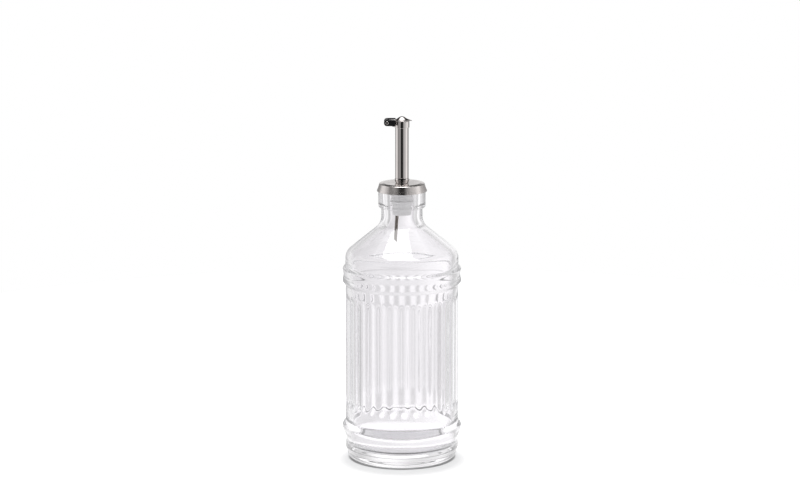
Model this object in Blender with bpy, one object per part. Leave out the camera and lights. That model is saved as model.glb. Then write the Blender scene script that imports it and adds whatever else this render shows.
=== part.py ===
"""Oil and vinegar dispenser: a fluted glass bottle with a push-in steel pourer and a hinged flap.

Metres, +Z up. The origin is the centre of the foot on the resting plane. +X is the side the
flap's beak points to, and the hinge and its thumb grip are on -X.
"""
import math

import bmesh
import bpy
from mathutils import Matrix, Vector

# Clearances
SEAT_GAP = 0.0003
PIN_GAP = 0.0002
HEAD_GAP = 0.00015

# Bottle: foot and rings, from the resting plane upwards
BODY_RADIUS = 0.0374
GLASS_WALL = 0.0038
FOOT_INNER_RADIUS = 0.0305
FOOT_OUTER_RADIUS = 0.0333
HEEL_ROUND = 0.0032
HEEL_HEIGHT = 0.0046
HEEL_SWELL = 0.0003
HEEL_SWELL_HALF = 0.0038
GROOVE_HALF = 0.0050
BASE_RING_RISE = 0.0022
BASE_RING_LOWER_HALF = 0.0085
BASE_RING_UPPER_HALF = 0.0051
PUNT_HEIGHT = 0.0030
FLOOR_THICKNESS = 0.0060
FLOOR_EDGE_DROP = 0.0012
FLOOR_CORNER_ROUND = 0.0060

# Bottle: flutes and the two-bead band above them
LOWER_PLAIN = 0.0073
FLUTE_LENGTH = 0.0786
FLUTE_COUNT = 30
FLUTE_DEPTH = 0.0010
FLUTE_ROUND = 0.0032
FLUTE_RUN_OUT = 0.0065
FLUTE_PHASE_DEG = 2.5
UPPER_PLAIN = 0.0047
BAND_FLANK = 0.0031
LOWER_BEAD_RISE = 0.0019
UPPER_BEAD_RISE = 0.0017
BEAD_SPACING = 0.0078
BAND_VALLEY_RISE = 0.0014
SHOULDER_PLAIN = 0.0040

# Bottle: shoulder, neck and mouth
SHOULDER_SLOPE_DEG = 50.6
SHOULDER_ROUND = 0.0085
NECK_RADIUS = 0.0136
NECK_LENGTH = 0.0102
NECK_ROUND = 0.0060
MOUTH_RING_RISE = 0.0020
MOUTH_RING_HEIGHT = 0.0133
LIP_ROUND = 0.0022
MOUTH_BORE = 0.0085
NECK_BORE = 0.0076
MOUTH_EDGE_ROUND = 0.0006
NECK_BORE_ROUND = 0.0030

# Stopper plug
PLUG_FLANGE_THICKNESS = 0.0023
PLUG_FLANGE_RADIUS = 0.0144
PLUG_FLANGE_ROUND = 0.0004
PLUG_LENGTH = 0.0177
PLUG_CORE_RADIUS = 0.0071
PLUG_NOSE_RADIUS = 0.0062
PLUG_NOSE_LENGTH = 0.0074
PLUG_NOSE_ROUND = 0.0015
PLUG_BORE = 0.0049
FIN_DEPTHS = (0.0036, 0.0083)
FIN_ROOT_THICKNESS = 0.0014
FIN_EDGE_THICKNESS = 0.0006
NOSE_RIB_DEPTH = 0.0131
NOSE_RIB_RISE = 0.0004

# Cap cover
CAP_SHEET = 0.0005
CAP_TOP_RADIUS = 0.0155
CAP_EDGE_ROUND = 0.0008
CAP_SKIRT_DROP = 0.0055
CAP_SKIRT_FLARE = 0.0004
CAP_BEAD_RISE = 0.0006
CAP_BEAD_HEIGHT = 0.0015
CAP_ROLL_OFFSET = 0.0001

# Ferrule, tube and breather
TUBE_RADIUS = 0.00445
TUBE_WALL = 0.0005
TUBE_LENGTH = 0.0378
FERRULE_BEAD_RISE = 0.00042
FERRULE_BEAD_HEIGHT = 0.0013
FERRULE_COVE_HEIGHT = 0.0014
FERRULE_NECK_RADIUS = 0.00375
FERRULE_NECK_WALL = 0.0003
FERRULE_SHANK_LENGTH = 0.0047
FERRULE_SHANK_WALL = 0.0006
FERRULE_SPIGOT_LENGTH = 0.0026
COUNTERSINK_SLOPE = 1.5
BREATHER_RADIUS = 0.0011
BREATHER_WALL = 0.0004
BREATHER_LENGTH = 0.0600
BREATHER_LOWER_REACH = 0.0199
BREATHER_OFFSET = 0.0021
BREATHER_TILT = 0.055

# Hinge collar and pin
COLLAR_WALL = 0.0003
COLLAR_HEIGHT = 0.0042
COLLAR_LUG_RADIUS = 0.0011
COLLAR_LUG_HALF_WIDTH = 0.0027
PIVOT_OFFSET = 0.0056
PIVOT_DROP = 0.0020
PIN_RADIUS = 0.00045
PIN_HEAD_RADIUS = 0.0008
PIN_HEAD_THICKNESS = 0.0003

# Flap
LID_RADIUS = 0.0052
LID_SHEET = 0.00045
LID_RISE = 0.0023
LID_SWELL_POWER = 0.8
LID_RIM_WIDTH = 0.0008
LID_BEAK_REACH = 0.0014
LID_BEAK_ROOT_SHARE = 0.6
LID_BEAK_SPREAD_DEG = 20.0
STRAP_SHEET = 0.0005
STRAP_LIFT = 0.0001
STRAP_SIDE = 0.0001
STRAP_OVERLAP = 0.0010
STRAP_TAIL = 0.00065
EAR_THICKNESS = 0.0005
EAR_ROUND = 0.0014
TONGUE_HALF_THICKNESS = 0.0004
TONGUE_HEIGHT = 0.0024
TONGUE_END_WALL = 0.0010
GRIP_LENGTH = 0.00485
GRIP_START = 0.00135
GRIP_HEIGHT = 0.0048
GRIP_DROP = 0.00075
CHEEK_REACH = 0.0015
CHEEK_THICKNESS = 0.0006
CHEEK_ROUND = 0.0005
RIVET_RADIUS = 0.0006
RIVET_HEAD_RADIUS = 0.0010
RIVET_HEAD_THICKNESS = 0.0004
RIVET_BACK = 0.0042
RIVET_RISE = 0.0013

# Mesh fineness
BOTTLE_SIDES = 60
CAP_SIDES = 40
PLUG_SIDES = 32
TUBE_SIDES = 32
LID_SIDES = 36
PIN_SIDES = 16
FLUTE_SIDES = 16
LID_STEPS = 5
BLEND_STEPS = 3
ARC_STEP_DEG = 25.0

# Shares: the flat middle of a faceted bead, the crown of a pin's head, the most of a wall that
# a fillet may take, and how far a cutter runs through
FLAT_SHARE = 0.4
CROWN_SHARE = 0.62
FILLET_LIMIT = 0.95
THROUGH = 1.2

# Heights worked out from the sizes above
heel_swell_peak = HEEL_HEIGHT + HEEL_SWELL_HALF
groove_height = heel_swell_peak + GROOVE_HALF
base_ring_peak = groove_height + BASE_RING_LOWER_HALF
base_ring_top = base_ring_peak + BASE_RING_UPPER_HALF
flute_bottom = base_ring_top + LOWER_PLAIN
flute_top = flute_bottom + FLUTE_LENGTH
band_bottom = flute_top + UPPER_PLAIN
lower_bead = band_bottom + BAND_FLANK
upper_bead = lower_bead + BEAD_SPACING
band_top = upper_bead + BAND_FLANK
shoulder_slope = math.radians(SHOULDER_SLOPE_DEG)
shoulder_corner = band_top + SHOULDER_PLAIN + SHOULDER_ROUND * math.tan(shoulder_slope / 2)
neck_corner = shoulder_corner + (BODY_RADIUS - NECK_RADIUS) / math.tan(shoulder_slope)
ring_bottom = neck_corner + NECK_LENGTH
lip_top = ring_bottom + MOUTH_RING_HEIGHT
ring_radius = NECK_RADIUS + MOUTH_RING_RISE
inner_radius = BODY_RADIUS - GLASS_WALL
floor_centre = PUNT_HEIGHT + FLOOR_THICKNESS

flange_bottom = lip_top + SEAT_GAP
flange_top = flange_bottom + PLUG_FLANGE_THICKNESS
plate_bottom = flange_top + SEAT_GAP
plate_top = plate_bottom + CAP_SHEET
plug_bottom = lip_top - PLUG_LENGTH

cove_bottom = plate_top + SEAT_GAP
bead_bottom = cove_bottom + FERRULE_COVE_HEIGHT
bead_top = bead_bottom + FERRULE_BEAD_HEIGHT
tube_bottom = bead_top + SEAT_GAP
mouth_height = tube_bottom + TUBE_LENGTH
tube_bore = TUBE_RADIUS - TUBE_WALL
collar_bore = TUBE_RADIUS + PIN_GAP
collar_radius = collar_bore + COLLAR_WALL
pivot = Vector((-PIVOT_OFFSET, 0.0, mouth_height - PIVOT_DROP))
ear_inner = COLLAR_LUG_HALF_WIDTH + SEAT_GAP
ear_outer = ear_inner + EAR_THICKNESS
cheek_inner = ear_outer + HEAD_GAP + PIN_HEAD_THICKNESS + SEAT_GAP
grip_half_width = cheek_inner + CHEEK_THICKNESS


def clear_scene():
    for old in list(bpy.data.objects):
        bpy.data.objects.remove(old, do_unlink=True)


def make_material(name, colour, roughness, metallic, transmission=0.0):
    material = bpy.data.materials.new(name)
    material.use_nodes = True
    shader = material.node_tree.nodes["Principled BSDF"]
    shader.inputs["Base Color"].default_value = (*colour, 1.0)
    shader.inputs["Roughness"].default_value = roughness
    shader.inputs["Metallic"].default_value = metallic
    shader.inputs["Transmission Weight"].default_value = transmission
    return material


def make_empty(name, place, parent=None):
    empty = bpy.data.objects.new(name, None)
    empty.location = place
    empty.parent = parent
    bpy.context.scene.collection.objects.link(empty)
    return empty


def finish_mesh(name, shape, material=None, parent=None):
    """Turn a bmesh into a smooth-shaded object with its faces pointing out."""
    bmesh.ops.recalc_face_normals(shape, faces=shape.faces)
    mesh = bpy.data.meshes.new(name)
    shape.to_mesh(mesh)
    shape.free()
    mesh.shade_smooth()
    mesh.set_sharp_from_angle(angle=math.radians(35.0))
    if material is not None:
        mesh.materials.append(material)
    piece = bpy.data.objects.new(name, mesh)
    piece.parent = parent
    bpy.context.scene.collection.objects.link(piece)
    return piece


def make_cutter(name, shape, parent=None):
    cutter = finish_mesh(name, shape, parent=parent)
    cutter.hide_render = True
    cutter.display_type = "WIRE"
    return cutter


def combine(piece, other, operation):
    step = piece.modifiers.new(other.name, "BOOLEAN")
    step.solver = "EXACT"
    step.operation = operation
    step.object = other


def rounded(corners):
    """Replace each (radius, height, fillet) corner of an outline by an arc of that fillet."""
    outline = []
    count = len(corners)
    for index, (across, up, fillet) in enumerate(corners):
        here = Vector((across, up))
        if fillet <= 0.0:
            outline.append((across, up))
            continue
        before = Vector(corners[index - 1][:2]) - here
        after = Vector(corners[(index + 1) % count][:2]) - here
        opening = before.angle(after)
        before.normalize()
        after.normalize()
        reach = fillet / math.tan(opening / 2)
        centre = here + (before + after).normalized() * (fillet / math.sin(opening / 2))
        start = here + before * reach - centre
        turn = (here + after * reach - centre).angle_signed(start)
        steps = max(2, round(math.degrees(abs(turn)) / ARC_STEP_DEG))
        for step in range(steps + 1):
            spoke = start.copy()
            spoke.rotate(Matrix.Rotation(turn * step / steps, 2))
            outline.append(tuple(centre + spoke))
    return outline


def blended(stations):
    """Join (radius, height) stations by smooth waves, level at each station."""
    outline = [stations[0]]
    for (radius_a, height_a), (radius_b, height_b) in zip(stations, stations[1:]):
        for step in range(1, BLEND_STEPS + 1):
            share = step / BLEND_STEPS
            swing = (1.0 - math.cos(math.pi * share)) / 2.0
            outline.append((radius_a + (radius_b - radius_a) * swing,
                            height_a + (height_b - height_a) * share))
    return outline


def turned(outline, sides, ring=False, bottom=0.0):
    """Spin an outline of (radius, height) points about Z. A ring's outline is a closed loop."""
    shape = bmesh.new()
    points = [shape.verts.new((across, 0.0, up - bottom)) for across, up in outline]
    for start, end in zip(points, points[1:]):
        shape.edges.new((start, end))
    if ring:
        shape.edges.new((points[-1], points[0]))
    bmesh.ops.spin(shape, geom=shape.verts[:] + shape.edges[:], cent=(0, 0, 0), axis=(0, 0, 1),
                   dvec=(0, 0, 0), angle=math.tau, steps=sides, use_merge=True, use_duplicate=False)
    bmesh.ops.remove_doubles(shape, verts=shape.verts, dist=1e-7)
    return shape


def plate_across(outline, low, high):
    """Extrude an outline of (x, z) points along Y, from low to high."""
    shape = bmesh.new()
    face = shape.faces.new([shape.verts.new((across, low, up)) for across, up in outline])
    grown = bmesh.ops.extrude_face_region(shape, geom=[face])
    top = [item for item in grown["geom"] if isinstance(item, bmesh.types.BMVert)]
    bmesh.ops.translate(shape, verts=top, vec=(0.0, high - low, 0.0))
    return shape


def box(low, high):
    shape = bmesh.new()
    bmesh.ops.create_cube(shape, size=1.0)
    size = Vector(high) - Vector(low)
    centre = (Vector(high) + Vector(low)) / 2
    bmesh.ops.scale(shape, verts=shape.verts, vec=size)
    bmesh.ops.translate(shape, verts=shape.verts, vec=centre)
    return shape


def rod_across(radius, half_length, sides, centre=(0.0, 0.0, 0.0)):
    """A rod along Y."""
    shape = bmesh.new()
    bmesh.ops.create_cone(shape, cap_ends=True, segments=sides, radius1=radius, radius2=radius,
                          depth=2 * half_length)
    bmesh.ops.rotate(shape, verts=shape.verts, matrix=Matrix.Rotation(math.pi / 2, 3, "X"))
    bmesh.ops.translate(shape, verts=shape.verts, vec=centre)
    return shape


def headed_pin(radius, head_radius, head_start, head_thickness):
    """A pin along Y with a domed head at each end."""
    end = head_start + head_thickness
    edge = head_start + head_thickness * FLAT_SHARE
    crown = head_radius * CROWN_SHARE
    outline = [(0.0, -end), (crown, -end), (head_radius, -edge), (head_radius, -head_start),
               (radius, -head_start), (radius, head_start), (head_radius, head_start),
               (head_radius, edge), (crown, end), (0.0, end)]
    shape = turned(outline, PIN_SIDES)
    bmesh.ops.rotate(shape, verts=shape.verts, matrix=Matrix.Rotation(math.pi / 2, 3, "X"))
    return shape


def neck_bore_at(height):
    """The bore narrows evenly from the mouth down to the foot of the neck."""
    share = (lip_top - height) / (lip_top - neck_corner)
    return MOUTH_BORE + (NECK_BORE - MOUTH_BORE) * share


def bottle_outline():
    dome_steps = 3
    outline = []
    for step in range(dome_steps):
        share = step / dome_steps
        outline.append((FOOT_INNER_RADIUS * share, PUNT_HEIGHT * (1.0 - share * share)))
    outline.append((FOOT_INNER_RADIUS, 0.0))
    heel_radius = FOOT_OUTER_RADIUS + HEEL_ROUND
    heel_steps = 3
    for step in range(heel_steps + 1):
        turn = math.pi / 2 * step / heel_steps
        outline.append((FOOT_OUTER_RADIUS + HEEL_ROUND * math.sin(turn),
                        HEEL_ROUND * (1.0 - math.cos(turn))))
    ring_stations = [(heel_radius, HEEL_HEIGHT),
                     (BODY_RADIUS + HEEL_SWELL, heel_swell_peak),
                     (BODY_RADIUS, groove_height),
                     (BODY_RADIUS + BASE_RING_RISE, base_ring_peak),
                     (BODY_RADIUS, base_ring_top)]
    outline += blended(ring_stations)
    band_stations = [(BODY_RADIUS, band_bottom),
                     (BODY_RADIUS + LOWER_BEAD_RISE, lower_bead),
                     (BODY_RADIUS + BAND_VALLEY_RISE, (lower_bead + upper_bead) / 2),
                     (BODY_RADIUS + UPPER_BEAD_RISE, upper_bead),
                     (BODY_RADIUS, band_top)]
    outline += blended(band_stations)

    # Shoulder, neck and mouth, outside and then back down inside to the floor
    inset = GLASS_WALL / math.sin(shoulder_slope)
    cone_top = shoulder_corner + BODY_RADIUS / math.tan(shoulder_slope)
    inner_cone_top = cone_top - inset
    inner_shoulder = inner_cone_top - inner_radius / math.tan(shoulder_slope)
    inner_neck = inner_cone_top - NECK_BORE / math.tan(shoulder_slope)
    floor_edge = floor_centre - FLOOR_EDGE_DROP
    corners = [(BODY_RADIUS, band_top, 0.0),
               (BODY_RADIUS, shoulder_corner, SHOULDER_ROUND),
               (NECK_RADIUS, neck_corner, NECK_ROUND),
               (NECK_RADIUS, ring_bottom, 0.0),
               (ring_radius, ring_bottom, MOUTH_RING_RISE * FILLET_LIMIT),
               (ring_radius, lip_top, LIP_ROUND),
               (MOUTH_BORE, lip_top, MOUTH_EDGE_ROUND),
               (NECK_BORE, inner_neck, NECK_BORE_ROUND),
               (inner_radius, inner_shoulder, SHOULDER_ROUND - GLASS_WALL),
               (inner_radius, floor_edge, FLOOR_CORNER_ROUND),
               (0.0, floor_centre, 0.0)]
    outline += rounded(corners)[1:]
    return outline


def flute_cutter():
    """One spindle for each flute. Its ends narrow, so that the flute runs out in a round tip.

    Past the flute the spindle goes on a little, thin enough to stay clear of the glass.
    """
    centre_radius = BODY_RADIUS + FLUTE_ROUND - FLUTE_DEPTH
    overrun = FLUTE_RUN_OUT / 4
    run_out_steps = 2
    rise = []
    for step in range(run_out_steps + 1):
        inward = FLUTE_RUN_OUT * (1.0 - step / run_out_steps)
        shallow = FLUTE_DEPTH * (inward / FLUTE_RUN_OUT) ** 2
        rise.append((FLUTE_ROUND - shallow, flute_bottom + FLUTE_RUN_OUT - inward))
    middle = (flute_bottom + flute_top) / 2
    fall = [(across, 2 * middle - up) for across, up in reversed(rise)]
    tip = FLUTE_ROUND - FLUTE_DEPTH * 3 / 2
    ends = (flute_bottom - overrun, flute_top + overrun)
    outline = [(0.0, ends[0]), (tip, ends[0])] + rise + fall + [(tip, ends[1]), (0.0, ends[1])]
    cutters = bmesh.new()
    for index in range(FLUTE_COUNT):
        angle = math.radians(FLUTE_PHASE_DEG - 90.0) + math.tau * index / FLUTE_COUNT
        place = Matrix.Rotation(angle, 4, "Z") @ Matrix.Translation((centre_radius, 0.0, 0.0))
        spindle = turned(outline, FLUTE_SIDES)
        bmesh.ops.transform(spindle, matrix=place, verts=spindle.verts)
        spindle_mesh = bpy.data.meshes.new("flute_spindle")
        spindle.to_mesh(spindle_mesh)
        spindle.free()
        cutters.from_mesh(spindle_mesh)
        bpy.data.meshes.remove(spindle_mesh)
    return cutters


def build_bottle(material):
    shape = turned(bottle_outline(), BOTTLE_SIDES)
    flute_turn = Matrix.Rotation(math.radians(FLUTE_PHASE_DEG), 3, "Z")
    bmesh.ops.rotate(shape, verts=shape.verts, matrix=flute_turn)
    bottle = finish_mesh("bottle_body", shape, material)
    combine(bottle, make_cutter("flute_cutter", flute_cutter()), "DIFFERENCE")
    return bottle


def build_plug(material, parent):
    nose_top = plug_bottom + PLUG_NOSE_LENGTH
    rib_middle = lip_top - NOSE_RIB_DEPTH
    rib_half = FIN_EDGE_THICKNESS
    nose_round = min(PLUG_NOSE_ROUND, (PLUG_NOSE_RADIUS - PLUG_BORE) * FILLET_LIMIT)
    corners = [(PLUG_BORE, plug_bottom, 0.0),
               (PLUG_NOSE_RADIUS, plug_bottom, nose_round),
               (PLUG_NOSE_RADIUS, rib_middle - rib_half, 0.0),
               (PLUG_NOSE_RADIUS + NOSE_RIB_RISE, rib_middle, 0.0),
               (PLUG_NOSE_RADIUS, rib_middle + rib_half, 0.0),
               (PLUG_NOSE_RADIUS, nose_top, 0.0),
               (PLUG_CORE_RADIUS, nose_top, 0.0)]
    for depth in reversed(FIN_DEPTHS):
        middle = lip_top - depth
        edge = neck_bore_at(middle) - SEAT_GAP
        corners += [(PLUG_CORE_RADIUS, middle - FIN_ROOT_THICKNESS / 2, 0.0),
                    (edge, middle - FIN_EDGE_THICKNESS / 2, 0.0),
                    (edge, middle + FIN_EDGE_THICKNESS / 2, 0.0),
                    (PLUG_CORE_RADIUS, middle + FIN_ROOT_THICKNESS / 2, 0.0)]
    corners += [(PLUG_CORE_RADIUS, flange_bottom, 0.0),
                (PLUG_FLANGE_RADIUS, flange_bottom, PLUG_FLANGE_ROUND),
                (PLUG_FLANGE_RADIUS, flange_top, PLUG_FLANGE_ROUND),
                (PLUG_BORE, flange_top, 0.0)]
    return finish_mesh("stopper_plug", turned(rounded(corners), PLUG_SIDES, ring=True), material, parent)


def build_cap(material, parent):
    hole = FERRULE_NECK_RADIUS + SEAT_GAP
    skirt_bottom = plate_top - CAP_SKIRT_DROP
    bead_middle = skirt_bottom + CAP_BEAD_HEIGHT / 2
    skirt_radius = CAP_TOP_RADIUS + CAP_SKIRT_FLARE
    bead_radius = skirt_radius + CAP_BEAD_RISE
    bead_flat = CAP_BEAD_HEIGHT * FLAT_SHARE / 2
    roll_inside = skirt_radius + CAP_ROLL_OFFSET
    inside_edge = max(CAP_EDGE_ROUND - CAP_SHEET, 0.0)
    corners = [(hole, plate_bottom, 0.0),
               (hole, plate_top, 0.0),
               (CAP_TOP_RADIUS, plate_top, CAP_EDGE_ROUND),
               (skirt_radius, skirt_bottom + CAP_BEAD_HEIGHT, 0.0),
               (bead_radius, bead_middle + bead_flat, 0.0),
               (bead_radius, bead_middle - bead_flat, 0.0),
               (skirt_radius + CAP_BEAD_RISE * FLAT_SHARE, skirt_bottom, 0.0),
               (roll_inside, skirt_bottom, 0.0),
               (roll_inside, bead_middle, 0.0),
               (skirt_radius - CAP_SHEET, skirt_bottom + CAP_BEAD_HEIGHT, 0.0),
               (CAP_TOP_RADIUS - CAP_SHEET, plate_bottom, inside_edge)]
    return finish_mesh("cap_cover", turned(rounded(corners), CAP_SIDES, ring=True), material, parent)


def build_ferrule(material, parent):
    shank_radius = PLUG_BORE - SEAT_GAP
    shank_bottom = flange_top - FERRULE_SHANK_LENGTH
    shank_bore = shank_radius - FERRULE_SHANK_WALL
    neck_bore = FERRULE_NECK_RADIUS - FERRULE_NECK_WALL
    spigot_radius = tube_bore - SEAT_GAP
    bead_radius = TUBE_RADIUS + FERRULE_BEAD_RISE
    bead_middle = (bead_bottom + bead_top) / 2
    bead_flat = FERRULE_BEAD_HEIGHT * FLAT_SHARE / 2
    cove_radius = (FERRULE_NECK_RADIUS + TUBE_RADIUS) / 2
    outline = [(shank_bore, shank_bottom),
               (shank_radius, shank_bottom),
               (shank_radius, flange_top),
               (FERRULE_NECK_RADIUS, flange_top),
               (FERRULE_NECK_RADIUS, cove_bottom),
               (cove_radius, bead_bottom - FERRULE_COVE_HEIGHT * FLAT_SHARE),
               (bead_radius - FERRULE_BEAD_RISE * FLAT_SHARE, bead_bottom),
               (bead_radius, bead_middle - bead_flat),
               (bead_radius, bead_middle + bead_flat),
               (TUBE_RADIUS, bead_top),
               (spigot_radius, bead_top),
               (spigot_radius, bead_top + FERRULE_SPIGOT_LENGTH),
               (neck_bore, bead_top + FERRULE_SPIGOT_LENGTH),
               (neck_bore, flange_top),
               (shank_bore, flange_top - (shank_bore - neck_bore) * COUNTERSINK_SLOPE)]
    return finish_mesh("tube_ferrule", turned(outline, TUBE_SIDES, ring=True), material, parent)


def build_tube(material, parent):
    outline = [(tube_bore, tube_bottom), (TUBE_RADIUS, tube_bottom),
               (TUBE_RADIUS, mouth_height), (tube_bore, mouth_height)]
    return finish_mesh("pour_tube", turned(outline, TUBE_SIDES, ring=True), material, parent)


def build_breather(material, parent):
    """A straight vent tube. It leans out towards the hinge side on its way down."""
    bore = BREATHER_RADIUS - BREATHER_WALL
    outline = [(bore, 0.0), (BREATHER_RADIUS, 0.0),
               (BREATHER_RADIUS, BREATHER_LENGTH), (bore, BREATHER_LENGTH)]
    shape = turned(outline, PIN_SIDES, ring=True)
    low_end = plug_bottom - BREATHER_LOWER_REACH
    sideways = -BREATHER_OFFSET - (plate_top - low_end) * BREATHER_TILT
    breather = finish_mesh("breather_tube", shape, material, parent)
    breather.location = (sideways, 0.0, low_end)
    breather.rotation_euler = (0.0, math.atan(BREATHER_TILT), 0.0)
    return breather


def build_collar(material, parent):
    collar_bottom = mouth_height - COLLAR_HEIGHT
    sleeve = [(0.0, collar_bottom), (collar_radius, collar_bottom),
              (collar_radius, mouth_height), (0.0, mouth_height)]
    collar = finish_mesh("hinge_collar", turned(sleeve, TUBE_SIDES), material, parent)
    lug_outline = [(0.0, -COLLAR_LUG_RADIUS), (0.0, COLLAR_LUG_RADIUS)]
    half_turn_steps = 8
    for step in range(half_turn_steps + 1):
        turn = math.pi / 2 + math.pi * step / half_turn_steps
        lug_outline.append((COLLAR_LUG_RADIUS * math.cos(turn) - PIVOT_OFFSET,
                            COLLAR_LUG_RADIUS * math.sin(turn)))
    lug_outline = [(across, up + pivot.z) for across, up in lug_outline]
    lug = make_cutter("collar_lug", plate_across(lug_outline, -COLLAR_LUG_HALF_WIDTH,
                                                 COLLAR_LUG_HALF_WIDTH), parent)
    overrun = COLLAR_HEIGHT * (THROUGH - 1.0)
    bore_outline = [(0.0, collar_bottom - overrun), (collar_bore, collar_bottom - overrun),
                    (collar_bore, mouth_height + overrun), (0.0, mouth_height + overrun)]
    bore = make_cutter("collar_bore", turned(bore_outline, TUBE_SIDES), parent)
    hole_shape = rod_across(PIN_RADIUS + PIN_GAP, COLLAR_LUG_HALF_WIDTH * THROUGH, PIN_SIDES, pivot)
    hole = make_cutter("collar_pin_hole", hole_shape, parent)
    combine(collar, lug, "UNION")
    combine(collar, bore, "DIFFERENCE")
    combine(collar, hole, "DIFFERENCE")
    return collar


def build_pin(material, parent):
    shape = headed_pin(PIN_RADIUS, PIN_HEAD_RADIUS, ear_outer + HEAD_GAP, PIN_HEAD_THICKNESS)
    pin = finish_mesh("hinge_pin", shape, material, parent)
    pin.location = pivot
    return pin


def lid_shape(rim_height):
    """A shallow bell of sheet steel, open below, drawn out into a pouring beak on +X."""
    bell = []
    for step in range(LID_STEPS + 1):
        share = step / LID_STEPS
        swell = (0.5 * (1.0 + math.cos(math.pi * share))) ** LID_SWELL_POWER
        bell.append((LID_RADIUS * share, rim_height + LID_RISE * swell))
    outline = [(across, up + LID_SHEET) for across, up in bell]
    outline += [(LID_RADIUS, rim_height), (LID_RADIUS - LID_RIM_WIDTH, rim_height)]
    outline += [(across, up) for across, up in reversed(bell)
                if across < LID_RADIUS - LID_RIM_WIDTH]
    shape = turned(outline, LID_SIDES)
    spread = math.radians(LID_BEAK_SPREAD_DEG)
    for point in shape.verts:
        reach_share = math.hypot(point.co.x, point.co.y) / LID_RADIUS
        off_axis = math.atan2(point.co.y, point.co.x) / spread
        rim_share = max(0.0, reach_share - LID_BEAK_ROOT_SHARE) / (1.0 - LID_BEAK_ROOT_SHARE)
        point.co.x += LID_BEAK_REACH * rim_share * math.exp(-off_axis * off_axis)
    bmesh.ops.translate(shape, verts=shape.verts, vec=(PIVOT_OFFSET, 0.0, 0.0))
    return shape


def grip_outline(grip_end, cheek_top):
    """The grip from the side: a round end, and cheeks that reach forward past the hinge axis."""
    grip_round = GRIP_HEIGHT / 2
    grip_low = -GRIP_DROP
    round_steps = 10
    outline = [(-GRIP_START, cheek_top), (-GRIP_START, grip_low + GRIP_HEIGHT)]
    for step in range(round_steps + 1):
        turn = math.pi / 2 + math.pi * step / round_steps
        outline.append((grip_end + grip_round + grip_round * math.cos(turn),
                        grip_low + grip_round + grip_round * math.sin(turn)))
    outline += [(CHEEK_REACH - CHEEK_ROUND, grip_low), (CHEEK_REACH, grip_low + CHEEK_ROUND),
                (CHEEK_REACH, cheek_top - CHEEK_ROUND), (CHEEK_REACH - CHEEK_ROUND, cheek_top)]
    return outline


def build_flap(steel, black, parent):
    """The flap's pieces, measured from the hinge axis. The grip's cheeks cover the pin's heads."""
    rim_height = PIVOT_DROP + SEAT_GAP
    strap_top = rim_height + STRAP_SHEET
    grip_end = -GRIP_START - GRIP_LENGTH
    strap_end = -GRIP_START - STRAP_TAIL
    strap_front = PIVOT_OFFSET - LID_RADIUS + STRAP_OVERLAP
    strap_half_width = ear_outer + STRAP_SIDE
    strap_middle = rim_height + STRAP_SHEET / 2

    lid = finish_mesh("flap_lid", lid_shape(rim_height), steel, parent)
    strap = make_cutter("flap_strap", box((strap_end, -strap_half_width, rim_height + STRAP_LIFT),
                                          (strap_front, strap_half_width, strap_top)), parent)
    combine(lid, strap, "UNION")
    ear_outline = [(EAR_ROUND, strap_middle), (-EAR_ROUND, strap_middle)]
    half_turn_steps = 10
    for step in range(half_turn_steps + 1):
        turn = math.pi + math.pi * step / half_turn_steps
        ear_outline.append((EAR_ROUND * math.cos(turn), EAR_ROUND * math.sin(turn)))
    for name, low, high in (("flap_ear_front", -ear_outer, -ear_inner),
                            ("flap_ear_back", ear_inner, ear_outer)):
        combine(lid, make_cutter(name, plate_across(ear_outline, low, high), parent), "UNION")
    tongue_end = grip_end + TONGUE_END_WALL
    tongue_low = strap_top - TONGUE_HEIGHT
    tongue = make_cutter("flap_tongue", box((tongue_end, -TONGUE_HALF_THICKNESS, tongue_low),
                                            (strap_end + STRAP_SHEET, TONGUE_HALF_THICKNESS,
                                             strap_middle)), parent)
    combine(lid, tongue, "UNION")
    pin_hole = make_cutter("flap_pin_hole", rod_across(PIN_RADIUS + PIN_GAP, ear_outer * THROUGH,
                                                       PIN_SIDES), parent)
    combine(lid, pin_hole, "DIFFERENCE")
    rivet_place = Vector((-RIVET_BACK, 0.0, RIVET_RISE))
    rivet_hole = make_cutter("rivet_hole", rod_across(RIVET_RADIUS + PIN_GAP, grip_half_width * THROUGH,
                                                      PIN_SIDES, rivet_place), parent)
    combine(lid, rivet_hole, "DIFFERENCE")
    slot_half = TONGUE_HALF_THICKNESS + SEAT_GAP
    slot = make_cutter("tongue_slot", box((tongue_end - SEAT_GAP, -slot_half, tongue_low - SEAT_GAP),
                                          (0.0, slot_half, strap_top + SEAT_GAP)), parent)
    hinge_room = make_cutter("hinge_room", box(
        (strap_end - SEAT_GAP, -cheek_inner, -GRIP_HEIGHT),
        (CHEEK_REACH * THROUGH, cheek_inner, strap_top + SEAT_GAP)), parent)
    grip_shape = plate_across(grip_outline(grip_end, rim_height - SEAT_GAP), -grip_half_width,
                              grip_half_width)
    grip = finish_mesh("thumb_grip", grip_shape, black, parent)
    for cutter in (hinge_room, slot, rivet_hole):
        combine(grip, cutter, "DIFFERENCE")

    rivet_shape = headed_pin(RIVET_RADIUS, RIVET_HEAD_RADIUS, grip_half_width + HEAD_GAP,
                             RIVET_HEAD_THICKNESS)
    rivet = finish_mesh("grip_rivet", rivet_shape, steel, parent)
    rivet.location = rivet_place


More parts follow.
